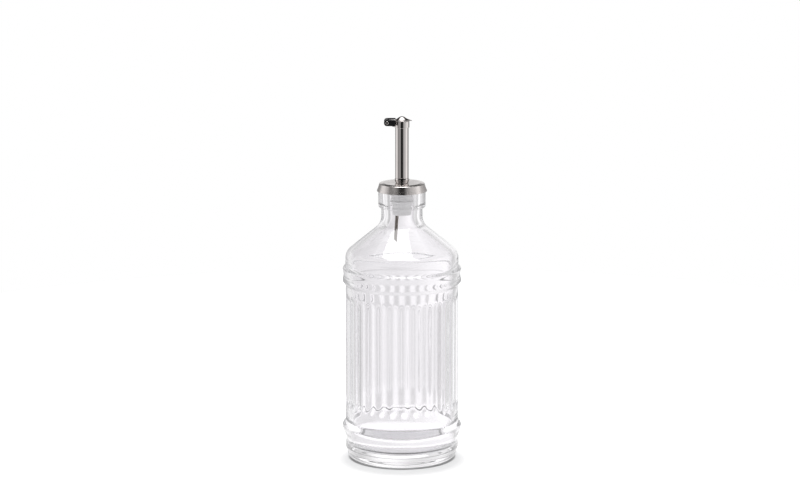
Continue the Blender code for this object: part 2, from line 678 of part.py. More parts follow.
def main():
    clear_scene()
    glass = make_material("clear_glass", (0.92, 0.93, 0.94), 0.02, 0.0, 1.0)
    plug_plastic = make_material("translucent_plastic", (0.86, 0.86, 0.86), 0.35, 0.0, 0.4)
    steel = make_material("polished_steel", (0.72, 0.70, 0.69), 0.12, 1.0)
    black_plastic = make_material("black_plastic", (0.02, 0.02, 0.022), 0.30, 0.0)
    build_bottle(glass)
    pourer_lift = make_empty("pourer_lift", (0.0, 0.0, 0.0))
    spout_turn = make_empty("spout_turn", (0.0, 0.0, 0.0), pourer_lift)
    build_plug(plug_plastic, pourer_lift)
    build_cap(steel, spout_turn)
    build_ferrule(steel, spout_turn)
    build_tube(steel, spout_turn)
    build_breather(steel, spout_turn)
    build_collar(steel, spout_turn)
    build_pin(steel, spout_turn)
    flap_hinge = make_empty("flap_hinge", pivot, spout_turn)
    build_flap(steel, black_plastic, flap_hinge)
    bpy.context.view_layer.update()


main()
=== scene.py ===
"""Looks of the oil and vinegar dispenser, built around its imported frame.

Metres, +Z up, in the frame's own place: the bottle's axis is Z, the flap's beak points to +X
and its hinge and thumb grip are on -X.
"""

import math

import bmesh
import bpy
from mathutils import Matrix, Vector, noise


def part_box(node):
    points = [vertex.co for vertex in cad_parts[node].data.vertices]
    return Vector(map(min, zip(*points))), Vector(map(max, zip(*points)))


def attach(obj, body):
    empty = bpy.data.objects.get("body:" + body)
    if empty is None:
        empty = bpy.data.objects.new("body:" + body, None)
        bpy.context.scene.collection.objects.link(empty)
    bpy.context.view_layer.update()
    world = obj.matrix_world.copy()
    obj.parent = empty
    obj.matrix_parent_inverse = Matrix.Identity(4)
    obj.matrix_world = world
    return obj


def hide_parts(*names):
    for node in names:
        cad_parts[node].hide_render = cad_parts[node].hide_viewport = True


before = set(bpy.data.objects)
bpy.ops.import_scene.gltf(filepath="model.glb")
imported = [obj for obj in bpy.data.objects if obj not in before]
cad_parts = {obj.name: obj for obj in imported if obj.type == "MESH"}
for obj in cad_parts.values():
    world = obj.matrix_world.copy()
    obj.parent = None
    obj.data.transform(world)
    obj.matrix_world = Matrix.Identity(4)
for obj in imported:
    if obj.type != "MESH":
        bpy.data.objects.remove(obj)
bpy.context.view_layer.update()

MM = 0.001

# How finely the shapes are cut up: sides round the axis, and steps along an outline
BOTTLE_SIDES = 360
CAP_SIDES = 160
TURNED_SIDES = 128
PLUG_SIDES = 96
THIN_SIDES = 48
HOLE_SIDES = 32
PUNT_STEPS = 8
HEEL_STEPS = 9
WAVE_STEPS = 7
FLUTE_END_STEPS = 12
FLUTE_MIDDLE_STEPS = 4
BELL_STEPS = 24
BELL_INSIDE_STEPS = 18
INNER_STEP = 2.9 * MM

# A long straight run gets an extra point this near each end, on turned rings and on the glass
HOLD_NEAR = 0.12 * MM
GLASS_HOLD_NEAR = 0.4 * MM

# Lengths this short count as nothing, and points this near each other are joined
NOTHING = 1e-6
JOINED = 1e-7

# Bottle, from the resting plane upwards. Rings are (radius, height) at each crest and hollow.
FOOT_INNER = 30.5 * MM
FOOT_OUTER = 31.9 * MM
HEEL_ROUND = 4.6 * MM
PUNT_RISE = 3.0 * MM
BODY_RADIUS = 37.4 * MM
GLASS_WALL = 3.8 * MM
FOOT_RINGS = ((37.7 * MM, 8.4 * MM), (BODY_RADIUS, 13.4 * MM), (39.55 * MM, 21.9 * MM),
              (BODY_RADIUS, 27.0 * MM))
FLUTE_COUNT = 30
FLUTE_DEPTH = 1.0 * MM
FLUTE_LOW = 34.3 * MM
FLUTE_HIGH = 112.9 * MM
FLUTE_END = 6.0 * MM
FLUTE_MARGIN = 1.0 * MM
FLUTE_TURN = math.radians(-90.0 + 2.5)
BAND_LOW = 117.6 * MM
BAND_RINGS = ((39.3 * MM, 120.7 * MM), (38.8 * MM, 124.6 * MM), (39.1 * MM, 128.5 * MM))
BAND_HIGH = 131.6 * MM
SHOULDER_CORNER = 139.62 * MM
SHOULDER_FILLET = 8.5 * MM
NECK_CORNER = 159.17 * MM
NECK_FILLET = 10.0 * MM
NECK_RADIUS = 13.6 * MM
NECK_BORE = 7.6 * MM
NECK_TOP = 169.37 * MM
MOUTH_RING_RISE = 2.0 * MM
MOUTH_RING_FILLETS = (1.9 * MM, 2.2 * MM)
MOUTH_BORE = 8.5 * MM
MOUTH_FILLET = 0.6 * MM

# Inside of the bottle, with the mould's slight ripple
INNER_SHOULDER_FILLET = 4.7 * MM
FLOOR_CENTRE = 9.0 * MM
FLOOR_EDGE_DROP = 1.2 * MM
FLOOR_FILLET = 6.0 * MM
RIPPLE = 0.16 * MM
RIPPLE_FINENESS = 70.0

# Rounds of small edges, from fine steel to soft plastic
BORE_ROUND = 0.05 * MM
FINE_ROUND = 0.06 * MM
TONGUE_ROUND = 0.08 * MM
CUT_ROUND = 0.1 * MM
LIP_ROUND = 0.12 * MM
EDGE_ROUND = 0.15 * MM
SOFT_ROUND = 0.16 * MM
SLIGHT_ROUND = 0.2 * MM
FIN_ROUND = 0.25 * MM
PLUG_ROUND = 0.3 * MM

# Plug: a rib on the nose and two fins over it, each at a depth below the lip
SEAT_GAP = 0.3 * MM
PLUG_BORE = 4.9 * MM
PLUG_CORE = 7.1 * MM
PLUG_NOSE = 6.2 * MM
PLUG_NOSE_LENGTH = 7.4 * MM
PLUG_NOSE_FILLET = 0.9 * MM
RIB_DEPTH = 13.1 * MM
RIB_HALF = 0.6 * MM
RIB_RISE = 0.4 * MM
FIN_DEPTHS = (8.3 * MM, 3.6 * MM)
FIN_ROOT_HALF = 0.7 * MM
FIN_EDGE_HALF = 0.3 * MM
FLANGE_FILLETS = (0.4 * MM, 1.2 * MM)

# Cap disc. The skirt bends outside and inside at (radius, height over its lip, fillet).
CAP_SHEET = 0.5 * MM
CAP_HOLE = 4.05 * MM
CAP_EDGE = 14.9 * MM
CAP_EDGE_FILLETS = (0.5 * MM, 0.3 * MM)
DIP_START = 12.1 * MM
DIP_DEPTH = 0.36 * MM
DIP_FILLET = 4.0 * MM
SKIRT_BEND = (15.75 * MM, 2.2 * MM, 2.0 * MM)
SKIRT_BEND_INSIDE = (15.25 * MM, 2.4 * MM, 1.5 * MM)
SKIRT_LIP = 0.35 * MM

# Ferrule, tube and vent
FERRULE_MOUTH = 4.0 * MM
FERRULE_MOUTH_DEPTH = 0.8 * MM
FERRULE_BORE = 3.45 * MM
FERRULE_NECK = 3.75 * MM
FERRULE_NECK_RISE = 0.2 * MM
FERRULE_WAIST = 4.35 * MM
FERRULE_WAIST_RISE = 0.3 * MM
FLARE_DROP = 0.7 * MM
TUBE_STEP_IN = 0.1 * MM
TUBE_STEP_UP = 0.2 * MM
TUBE_WALL = 0.5 * MM
VENT_RADIUS = 1.1 * MM
VENT_BORE = 0.7 * MM
VENT_LENGTH = 60.0 * MM
VENT_TILT = 0.055
VENT_SLANT = 0.9

# Hinge and flap. The strap runs back from the lid over the hinge, and the tongue from the strap
# into the grip, whose cheeks lie beside the ears.
COLLAR_GAP = 0.06 * MM
LUG_ROOT = -3.85 * MM
LUG_HALF_WIDTH = 2.7 * MM
HINGE_HOLE = 0.65 * MM
PIN_RADIUS = 0.45 * MM
PIN_HEAD = 0.3 * MM
HEAD_EDGE_SHARE = 0.4
EAR_SHEET = 0.5 * MM
LID_SHEET = 0.45 * MM
LID_RIM_WIDTH = 0.8 * MM
BELL_FULLNESS = 1.12
BELL_OVERLAP = 0.03
BEAK_REACH = 1.4 * MM
BEAK_DROOP = 0.35 * MM
BEAK_ROOT = 0.6
BEAK_SPREAD = math.radians(20.0)
STRAP_SHEET = 0.5 * MM
STRAP_LIFT = 0.1 * MM
STRAP_BACK = 2.0 * MM
STRAP_OVERLAP = 1.0 * MM
STRAP_MARGIN = 0.1 * MM
TONGUE_HALF = 0.4 * MM
TONGUE_HEIGHT = 2.4 * MM
SHELF_BACK = 1.35 * MM
GRIP_HEIGHT = 3.95 * MM
GRIP_END_SHARE = 0.49
GRIP_FRONT_FILLETS = (0.5 * MM, 0.35 * MM)
GRIP_GAP = 0.06 * MM
CHEEK_SHEET = 0.6 * MM
RIVET_RADIUS = 0.6 * MM
RIVET_HEAD = 0.4 * MM
RIVET_HOLE = 0.8 * MM
RIVET_HOLE_REACH = 2.0 * MM

# Finishes. A faint pattern goes between the two tints of each. GLASS_SHADE is the colour of light
# that goes straight through the glass.
GLASS_TINTS = ((0.95, 0.94, 0.957), (0.965, 0.955, 0.97))
GLASS_SHADE = (0.93, 0.93, 0.935, 1.0)
PLUG_TINTS = ((0.97, 0.968, 0.962), (0.99, 0.987, 0.982))
STEEL_TINTS = ((0.76, 0.72, 0.705), (0.69, 0.65, 0.635))
VENT_TINTS = ((0.39, 0.345, 0.305), (0.29, 0.255, 0.226))
GRIP_TINTS = ((0.01, 0.01, 0.011), (0.02, 0.02, 0.02))
FINE_BUMP = 0.02 * MM
SCRATCH_ROUGHNESS = 0.2
RING_SHARE = 0.6

# The cap disc is more satin from a little under its top downwards
SATIN_DROP = 0.6 * MM
SATIN_MORE = 0.08

# Places taken from the frame
lip_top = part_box("bottle_body")[1].z
plug_low, plug_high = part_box("stopper_plug")
cap_low, cap_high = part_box("cap_cover")
ferrule_low, ferrule_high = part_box("tube_ferrule")
tube_low, tube_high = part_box("pour_tube")
breather_low, breather_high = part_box("breather_tube")
collar_low, collar_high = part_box("hinge_collar")
lid_low, lid_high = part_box("flap_lid")
grip_low, grip_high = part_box("thumb_grip")
rivet_low, rivet_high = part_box("grip_rivet")
pin_low, pin_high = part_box("hinge_pin")
pivot = (pin_low + pin_high) / 2
rivet_place = (rivet_low + rivet_high) / 2
flange_top = plug_high.z
lid_rim = collar_high.z + SEAT_GAP
strap_top = lid_rim + STRAP_SHEET
strap_end = pivot.x - STRAP_BACK
ear_inner = LUG_HALF_WIDTH + SEAT_GAP
ear_outer = ear_inner + EAR_SHEET

# Studio. The table glows from a little past the foot outwards, to be pure white there. Steel and
# clear glass see it only near the foot, and the world beyond. Under the ring of the foot a dark
# ring is painted into the table's colour, a painted contact shadow that stands in for the light the
# thick glass takes away there.
TABLE_RADIUS = 0.6
TABLE_SIDES = 128
TABLE_WHITE = (0.94, 0.96)
TABLE_GLOW = 0.4
# The glow's ramp, from a centre set a little towards the camera, paints the soft shadow's outline
# round the foot, longer in front.
GLOW_START = 35.0 * MM
GLOW_FULL = 52.0 * MM
GLOW_CENTRE = (0.0, -9.0 * MM, 0.0)
TABLE_FADE = (42.0 * MM, 150.0 * MM)
TABLE_DROP = 0.05 * MM
PAINTED_SHADOW_EDGE = 2.0 * MM
PAINTED_SHADOW_DARKNESS = 0.7

# The light that falls on everything from all round
AMBIENT_LEVEL = 0.68

# What the steel and the black plastic reflect: a white sweep, a white ceiling, a dark gap between
# them, and cards round the set, each with its azimuth from the camera's side in degrees, positive
# to the right, half width, highest elevation and brightness
SWEEP_LEVEL = 0.9
CEILING_LEVEL = 1.3
DARK_LEVEL = 0.05
DARK_RISE = (15.0, 55.0)
CARDS = (
    (-147.0, 25.0, 12.0, 0.34),
    (-105.0, 17.0, 38.0, 1.0),
    (-79.0, 9.0, 38.0, 0.66),
    (-60.0, 10.0, 38.0, 0.22),
    (-40.0, 10.0, 38.0, 0.36),
    (-23.0, 7.0, 38.0, 0.24),
    (0.5, 18.0, 75.0, 0.0),
    (26.0, 8.0, 38.0, 0.34),
    (43.0, 9.0, 38.0, 0.56),
    (63.0, 11.0, 38.0, 0.72),
    (88.0, 14.0, 38.0, 1.15),
    (115.0, 13.0, 38.0, 0.52),
    (147.0, 19.0, 12.0, 0.4),
)
CARD_LOW = -60.0
CARD_EDGE = 8.0

# The overhead box: its light, and the bright panel that glossy surfaces see in its place.
# The panel's place is given by the slopes from the zenith, across and away from the camera.
# Its right side spreads towards the camera.
BOX_LEVEL = 3.6
BOX_SIZE = (0.66, 0.80)
BOX_PLACE = (-0.05, 0.1, 1.25)
PANEL_LEVEL = 7.0
PANEL_ACROSS = (-0.39, 0.21)
PANEL_AWAY = (-0.48, 0.28)
PANEL_SPREAD = 0.85
PANEL_EDGE = 0.02
PANEL_FAR = 2.0

# What shows through clear glass: pale in front and behind, a little darker to the sides and
# upwards, with soft upright bands that let the flutes show. What the glass mirrors of the
# camera's side is dark. Turns are degrees from the camera. Light that is mirrored more often
# than MOST_MIRRORED inside the glass leaves it as if straight through.
BAND_COUNT = 7.0
BAND_SHIFT = math.pi / 2
BAND_MIDDLE = 1.02
BAND_SWING = 0.17
HIGH_LEVEL = 0.84
HIGH_RISE = (-5.0, 40.0)
SIDE_LEVEL = 0.67
SIDE_TURNS = (120.0, 170.0)
NEAR_LEVEL = 0.3
NEAR_TURNS = (30.0, 75.0)
ONCE_MIRRORED = 0.5
MOST_MIRRORED = 3.5

# Camera: the photograph's angle, with the lens and its sensor in millimetres
CAMERA_BACK = 2.2
CAMERA_HEIGHT = 0.5969
CAMERA_TILT = 11.75
CAMERA_ASIDE = -0.0013
CAMERA_LENS = 152.9
CAMERA_SENSOR = 36.0


def steps_between(low, high, count):
    """Evenly spaced values from low to high, both included."""
    return [low + (high - low) * step / count for step in range(count + 1)]


def arc(centre, radius, start_deg, end_deg, steps):
    """Points along an arc of an outline."""
    turns = [math.radians(turn) for turn in steps_between(start_deg, end_deg, steps)]
    return [(centre[0] + radius * math.cos(turn), centre[1] + radius * math.sin(turn))
            for turn in turns]


def wave(stations):
    """Join (radius, height) stations by smooth waves, upright at each station."""
    outline = [stations[0]]
    for (radius_a, height_a), (radius_b, height_b) in zip(stations, stations[1:]):
        for share in steps_between(0.0, 1.0, WAVE_STEPS)[1:]:
            swing = (1.0 - math.cos(math.pi * share)) / 2.0
            outline.append((radius_a + (radius_b - radius_a) * swing,
                            height_a + (height_b - height_a) * share))
    return outline


def filleted(corners, step_deg):
    """Replace each (across, up, fillet) corner of an outline by an arc of that fillet."""
    outline = []
    for index, (across, up, fillet) in enumerate(corners):
        here = Vector((across, up))
        if fillet <= 0.0:
            outline.append((across, up))
            continue
        before = (Vector(corners[index - 1][:2]) - here).normalized()
        after = (Vector(corners[(index + 1) % len(corners)][:2]) - here).normalized()
        opening = before.angle(after)
        reach = fillet / math.tan(opening / 2)
        centre = here + (before + after).normalized() * (fillet / math.sin(opening / 2))
        start = here + before * reach - centre
        turn = (here + after * reach - centre).angle_signed(start)
        steps = max(3, round(math.degrees(abs(turn)) / step_deg))
        for step in range(steps + 1):
            spoke = start.copy()
            spoke.rotate(Matrix.Rotation(turn * step / steps, 2))
            outline.append(tuple(centre + spoke))
    return outline


def held(outline, near, ring=False):
    """Add a point near both ends of each long straight run, so that its shading stays even."""
    kept = []
    for start, end in zip(outline, outline[1:] + (outline[:1] if ring else [])):
        kept.append(start)
        run = Vector(end) - Vector(start)
        if run.length > 4 * near:
            step = run.normalized() * near
            kept += [tuple(Vector(start) + step), tuple(Vector(end) - step)]
    return kept if ring else kept + outline[-1:]


def spun(outline, sides, ring=False):
    """Spin an outline of (radius, height) points about Z. A ring's outline is a closed loop."""
    if ring:
        outline = held(outline, HOLD_NEAR, ring)
    shape = bmesh.new()
    points = [shape.verts.new((across, 0.0, up)) for across, up in outline]
    for start, end in zip(points, points[1:]):
        shape.edges.new((start, end))
    if ring:
        shape.edges.new((points[-1], points[0]))
    bmesh.ops.spin(shape, geom=shape.verts[:] + shape.edges[:], cent=(0, 0, 0), axis=(0, 0, 1),
                   dvec=(0, 0, 0), angle=math.tau, steps=sides, use_merge=True, use_duplicate=False)
    bmesh.ops.remove_doubles(shape, verts=shape.verts, dist=JOINED)
    return shape


def slab(outline, low, high, round_edge, segments=3):
    """Extrude an outline of (x, z) points along Y, and round the edges of its two ends."""
    shape = bmesh.new()
    face = shape.faces.new([shape.verts.new((across, low, up)) for across, up in outline])
    grown = bmesh.ops.extrude_face_region(shape, geom=[face])
    far = [item for item in grown["geom"] if isinstance(item, bmesh.types.BMVert)]
    bmesh.ops.translate(shape, verts=far, vec=(0.0, high - low, 0.0))
    rims = [edge for edge in shape.edges
            if abs(edge.verts[0].co.y - edge.verts[1].co.y) < NOTHING]
    bmesh.ops.bevel(shape, geom=rims, offset=round_edge, offset_type="OFFSET", affect="EDGES",
                    segments=segments, profile=0.5, material=-1)
    return shape


def block(low, high):
    """A square-cornered block, for cutting."""
    shape = bmesh.new()
    bmesh.ops.create_cube(shape, size=1.0)
    bmesh.ops.scale(shape, verts=shape.verts, vec=Vector(high) - Vector(low))
    bmesh.ops.translate(shape, verts=shape.verts, vec=(Vector(high) + Vector(low)) / 2)
    return shape


def rod_across(radius, half_length, place):
    """A plain rod along Y, for drilling."""
    shape = bmesh.new()
    bmesh.ops.create_cone(shape, cap_ends=True, segments=HOLE_SIDES, radius1=radius,
                          radius2=radius, depth=2 * half_length)
    bmesh.ops.rotate(shape, verts=shape.verts, matrix=Matrix.Rotation(math.pi / 2, 3, "X"))
    bmesh.ops.translate(shape, verts=shape.verts, vec=place)
    return shape


def object_of(name, shape, sharp_deg=40.0):
    """Turn a bmesh into a smooth-shaded object with its faces pointing out."""
    bmesh.ops.recalc_face_normals(shape, faces=shape.faces)
    mesh = bpy.data.meshes.new(name)
    shape.to_mesh(mesh)
    shape.free()
    mesh.shade_smooth()
    mesh.set_sharp_from_angle(angle=math.radians(sharp_deg))
    piece = bpy.data.objects.new(name, mesh)
    bpy.context.scene.collection.objects.link(piece)
    return piece


def carve(piece, tools, operation):
    """Apply Booleans with these tool objects to a piece, and remove the tools."""
    for tool in tools:
        step = piece.modifiers.new(tool.name, "BOOLEAN")
        step.solver = "EXACT"
        step.operation = operation
        step.object = tool
    bpy.context.view_layer.update()
    carved = bpy.data.meshes.new_from_object(piece.evaluated_get(
        bpy.context.evaluated_depsgraph_get()))
    piece.modifiers.clear()
    piece.data = carved
    for tool in tools:
        bpy.data.objects.remove(tool, do_unlink=True)


def dress(piece, material, slot, body, *nodes):
    """Give a piece its finish and its body, and let it stand for its CAD nodes."""
    piece.data.materials.clear()
    piece.data.materials.append(material)
    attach(piece, body)
    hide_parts(*nodes)
    return piece


# Materials


class Tree:
    """Short words for building a node tree."""

    def __init__(self, tree):
        self.tree = tree

    def node(self, kind, **settings):
        made = self.tree.nodes.new("ShaderNode" + kind)
        for name, value in settings.items():
            setattr(made, name, value)
        return made

    def feed(self, source, target):
        """Link a socket to an input, or set the input to a plain value."""
        if isinstance(source, bpy.types.NodeSocket):
            self.tree.links.new(source, target)
        else:
            target.default_value = source

    def math(self, operation, *values):
        made = self.node("Math", operation=operation)
        for value, socket in zip(values, made.inputs):
            self.feed(value, socket)
        return made.outputs[0]

    def span(self, value, low, high, start=0.0, end=1.0, kind="LINEAR"):
        """Map a value from low..high to start..end, clamped."""
        made = self.node("MapRange", interpolation_type=kind)
        for socket, item in zip(made.inputs, (value, low, high, start, end)):
            self.feed(item, socket)
        return made.outputs[0]

    def within(self, value, low, high, edge):
        """1 between low and high and 0 outside, with a soft edge of this width."""
        aside = self.math("ABSOLUTE", self.math("SUBTRACT", value, (low + high) / 2))
        reach = (high - low) / 2
        return self.span(aside, reach - edge / 2, reach + edge / 2, 1.0, 0.0, "SMOOTHSTEP")

    def blend(self, share, first, second):
        made = self.node("Mix", data_type="FLOAT")
        for socket, item in zip(made.inputs, (share, None, first, second)):
            if item is not None:
                self.feed(item, socket)
        return made.outputs[0]

    def noise(self, vector, scale, detail=2.0, roughness=0.5):
        made = self.node("TexNoise")
        self.feed(vector, made.inputs["Vector"])
        made.inputs["Scale"].default_value = scale
        made.inputs["Detail"].default_value = detail
        made.inputs["Roughness"].default_value = roughness
        return made.outputs["Fac"]

    def tinted(self, share, first, second):
        """A colour between two, by a share from 0 to 1."""
        made = self.node("Mix", data_type="RGBA")
        self.feed(share, made.inputs[0])
        made.inputs[6].default_value = (*first, 1.0)
        made.inputs[7].default_value = (*second, 1.0)
        return made.outputs[2]


def group_of(name, inputs, outputs):
    """A new node group with float or vector inputs and outputs, and its two end nodes."""
    group = bpy.data.node_groups.new(name, "ShaderNodeTree")
    for label, kind, value in inputs:
        socket = group.interface.new_socket(label, in_out="INPUT", socket_type=kind)
        if value is not None:
            socket.default_value = value
    for label, kind in outputs:
        group.interface.new_socket(label, in_out="OUTPUT", socket_type=kind)
    return group, Tree(group), group.nodes.new("NodeGroupInput"), group.nodes.new("NodeGroupOutput")


def make_handled_group():
    """Smudges and fine scratches, as a roughness, a height for a bump and a share for tints."""
    group, build, start, end = group_of(
        "handled_surface",
        [("Vector", "NodeSocketVector", None), ("Smooth", "NodeSocketFloat", 0.1),
         ("Smudged", "NodeSocketFloat", 0.2), ("Scratches", "NodeSocketFloat", 0.2)],
        [("Roughness", "NodeSocketFloat"), ("Height", "NodeSocketFloat"),
         ("Shade", "NodeSocketFloat")])
    where = start.outputs["Vector"]
    cloud = build.noise(where, scale=90.0, detail=4.0, roughness=0.6)
    smudge = build.span(cloud, low=0.42, high=0.68, kind="SMOOTHSTEP")
    stretch = build.node("Mapping")
    stretch.inputs["Scale"].default_value = (900.0, 900.0, 60.0)
    stretch.inputs["Rotation"].default_value = (0.35, 0.2, 0.0)
    build.feed(where, stretch.inputs["Vector"])
    streak = build.noise(stretch.outputs[0], scale=1.0, detail=1.0, roughness=0.4)
    scratch = build.span(streak, low=0.66, high=0.74)
    marks = build.math("MULTIPLY", scratch, start.outputs["Scratches"])
    rough = build.blend(smudge, start.outputs["Smooth"], start.outputs["Smudged"])
    build.feed(build.math("ADD", rough, build.math("MULTIPLY", marks, SCRATCH_ROUGHNESS)),
               end.inputs["Roughness"])
    build.feed(build.math("MULTIPLY", marks, -1.0), end.inputs["Height"])
    build.feed(smudge, end.inputs["Shade"])
    return group


def make_turned_group():
    """Fine rings left by polishing on a lathe, round the bottle's axis."""
    group, build, start, end = group_of(
        "lathe_rings",
        [("Vector", "NodeSocketVector", None), ("Fineness", "NodeSocketFloat", 9000.0)],
        [("Rings", "NodeSocketFloat")])
    split = build.node("SeparateXYZ")
    build.feed(start.outputs["Vector"], split.inputs[0])
    across = build.math("SQRT", build.math(
        "ADD", build.math("MULTIPLY", split.outputs[0], split.outputs[0]),
        build.math("MULTIPLY", split.outputs[1], split.outputs[1])))
    place = build.node("CombineXYZ")
    build.feed(across, place.inputs[0])
    build.feed(split.outputs[2], place.inputs[1])
    rings = build.node("TexNoise", noise_dimensions="2D")
    build.feed(place.outputs[0], rings.inputs["Vector"])
    build.feed(start.outputs["Fineness"], rings.inputs["Scale"])
    rings.inputs["Detail"].default_value = 2.0
    build.feed(rings.outputs["Fac"], end.inputs["Rings"])
    return group


def new_material(name):
    """A material with its node tree, its shader and the piece's own coordinates."""
    material = bpy.data.materials.new(name)
    material.use_nodes = True
    build = Tree(material.node_tree)
    shader = material.node_tree.nodes["Principled BSDF"]
    where = build.node("TexCoord").outputs["Object"]
    return material, build, shader, where


def place_group(build, group, where, **values):
    made = build.node("Group")
    made.node_tree = group
    build.feed(where, made.inputs["Vector"])
    for name, value in values.items():
        made.inputs[name].default_value = value
    return made


def bumped(build, shader, height, distance, strength=1.0):
    made = build.node("Bump")
    made.inputs["Strength"].default_value = strength
    made.inputs["Distance"].default_value = distance
    build.feed(height, made.inputs["Height"])
    build.feed(made.outputs["Normal"], shader.inputs["Normal"])


def make_glass(handled):
    """Pressed glass: clear, faintly lilac, with a slight ripple. Lamps shine through it."""
    material, build, shader, where = new_material("pressed_glass")
    wear = place_group(build, handled, where, Smooth=0.0, Smudged=0.012, Scratches=0.0)
    cloud = build.noise(where, scale=25.0, detail=1.0)
    build.feed(build.tinted(cloud, *GLASS_TINTS), shader.inputs["Base Color"])
    build.feed(wear.outputs["Roughness"], shader.inputs["Roughness"])
    shader.inputs["IOR"].default_value = 1.5
    shader.inputs["Transmission Weight"].default_value = 1.0
    bumped(build, shader, build.noise(where, scale=160.0, detail=1.0), FINE_BUMP, strength=0.5)
    clear = build.node("BsdfTransparent")
    clear.inputs["Color"].default_value = GLASS_SHADE
    rays = build.node("LightPath")
    lost = build.math("GREATER_THAN", rays.outputs["Glossy Depth"], MOST_MIRRORED)
    through = build.math("MAXIMUM", lost, build.math(
        "MAXIMUM", rays.outputs["Is Shadow Ray"], rays.outputs["Is Diffuse Ray"]))
    mix = build.node("MixShader")
    build.feed(through, mix.inputs[0])
    build.feed(shader.outputs[0], mix.inputs[1])
    build.feed(clear.outputs[0], mix.inputs[2])
    build.feed(mix.outputs[0], material.node_tree.nodes["Material Output"].inputs["Surface"])
    return material


def make_plug_plastic(handled):
    """Milky soft plastic that lets some light through."""
    material, build, shader, where = new_material("milky_plastic")
    wear = place_group(build, handled, where, Smooth=0.22, Smudged=0.35, Scratches=0.1)
    cloud = build.noise(where, scale=120.0)
    build.feed(build.tinted(cloud, *PLUG_TINTS), shader.inputs["Base Color"])
    build.feed(wear.outputs["Roughness"], shader.inputs["Roughness"])
    shader.inputs["IOR"].default_value = 1.4
    shader.inputs["Transmission Weight"].default_value = 0.03
    bumped(build, shader, wear.outputs["Height"], FINE_BUMP)
    return material


def make_steel(name, handled, turned_rings, smooth, smudged, ring_depth, fineness,
               tints=STEEL_TINTS, satin_below=None):
    """Polished stainless steel with lathe rings of a given depth, more satin below a height."""
    material, build, shader, where = new_material(name)
    wear = place_group(build, handled, where, Smooth=smooth, Smudged=smudged, Scratches=0.25)
    rough = wear.outputs["Roughness"]
    if satin_below is not None:
        split = build.node("SeparateXYZ")
        build.feed(where, split.inputs[0])
        rough = build.math("ADD", rough, build.span(
            split.outputs[2], satin_below - MM, satin_below, SATIN_MORE, 0.0))
    rings = place_group(build, turned_rings, where, Fineness=fineness).outputs["Rings"]
    shade = build.math("ADD", build.math("MULTIPLY", wear.outputs["Shade"], 1.0 - RING_SHARE),
                       build.math("MULTIPLY", rings, RING_SHARE))
    build.feed(build.tinted(shade, *tints), shader.inputs["Base Color"])
    shader.inputs["Metallic"].default_value = 1.0
    build.feed(rough, shader.inputs["Roughness"])
    height = build.math("ADD", rings, build.math("MULTIPLY", wear.outputs["Height"], 0.5))
    bumped(build, shader, height, ring_depth)
    return material


def make_black_plastic(handled):
    """Moulded black plastic with a slight grain."""
    material, build, shader, where = new_material("black_grip")
    wear = place_group(build, handled, where, Smooth=0.34, Smudged=0.5, Scratches=0.6)
    build.feed(build.tinted(wear.outputs["Shade"], *GRIP_TINTS), shader.inputs["Base Color"])
    build.feed(wear.outputs["Roughness"], shader.inputs["Roughness"])
    shader.inputs["Specular IOR Level"].default_value = 0.15
    grain = build.noise(where, scale=2600.0)
    bumped(build, shader, build.math("ADD", grain, wear.outputs["Height"]), FINE_BUMP, strength=0.6)
    return material


# Bottle


def outer_outline():
    """From the centre under the foot, out and up to the lip."""
    punt = [(FOOT_INNER * share, PUNT_RISE * (1.0 - share * share))
            for share in steps_between(0.0, 1.0, PUNT_STEPS)]
    heel = arc((FOOT_OUTER, HEEL_ROUND), HEEL_ROUND, -90.0, 0.0, HEEL_STEPS)[:-1]
    rings = wave([(FOOT_OUTER + HEEL_ROUND, HEEL_ROUND), *FOOT_RINGS])
    low_end = steps_between(FLUTE_LOW - FLUTE_MARGIN, FLUTE_LOW + FLUTE_END + FLUTE_MARGIN,
                            FLUTE_END_STEPS)
    high_end = [FLUTE_LOW + FLUTE_HIGH - up for up in reversed(low_end)]
    middle = steps_between(low_end[-1], high_end[0], FLUTE_MIDDLE_STEPS)[1:-1]
    flutes = [(BODY_RADIUS, up) for up in low_end + middle + high_end]
    band = wave([(BODY_RADIUS, BAND_LOW), *BAND_RINGS, (BODY_RADIUS, BAND_HIGH)])
    ring_radius = NECK_RADIUS + MOUTH_RING_RISE
    ring_low_fillet, ring_top_fillet = MOUTH_RING_FILLETS
    top = filleted([(BODY_RADIUS, BAND_HIGH, 0.0),
                    (BODY_RADIUS, SHOULDER_CORNER, SHOULDER_FILLET),
                    (NECK_RADIUS, NECK_CORNER, NECK_FILLET),
                    (NECK_RADIUS, NECK_TOP, 0.0),
                    (ring_radius, NECK_TOP, ring_low_fillet),
                    (ring_radius, lip_top, ring_top_fillet),
                    (MOUTH_BORE, lip_top, MOUTH_FILLET),
                    (NECK_BORE, NECK_CORNER, 0.0)], step_deg=6.0)
    return punt + heel + rings + flutes + band + held(top[1:-1], GLASS_HOLD_NEAR)


def inner_outline():
    """From the mouth down to the middle of the floor."""
    inner_radius = BODY_RADIUS - GLASS_WALL
    slope = math.atan2(BODY_RADIUS - NECK_RADIUS, NECK_CORNER - SHOULDER_CORNER)
    cone_top = SHOULDER_CORNER + BODY_RADIUS / math.tan(slope) - GLASS_WALL / math.sin(slope)
    neck_foot = cone_top - NECK_BORE / math.tan(slope)
    shoulder = cone_top - inner_radius / math.tan(slope)
    down = filleted([(MOUTH_BORE, lip_top, 0.0),
                     (NECK_BORE, neck_foot, NECK_FILLET),
                     (inner_radius, shoulder, INNER_SHOULDER_FILLET),
                     (inner_radius, FLOOR_CENTRE - FLOOR_EDGE_DROP, FLOOR_FILLET),
                     (0.0, FLOOR_CENTRE, 0.0)], step_deg=8.0)[1:]
    outline = []
    for (radius_a, height_a), (radius_b, height_b) in zip(down, down[1:]):
        pieces = max(1, round(math.hypot(radius_b - radius_a, height_b - height_a) / INNER_STEP))
        for share in steps_between(0.0, 1.0, pieces)[:-1]:
            outline.append((radius_a + (radius_b - radius_a) * share,
                            height_a + (height_b - height_a) * share))
    return outline + [down[-1]]


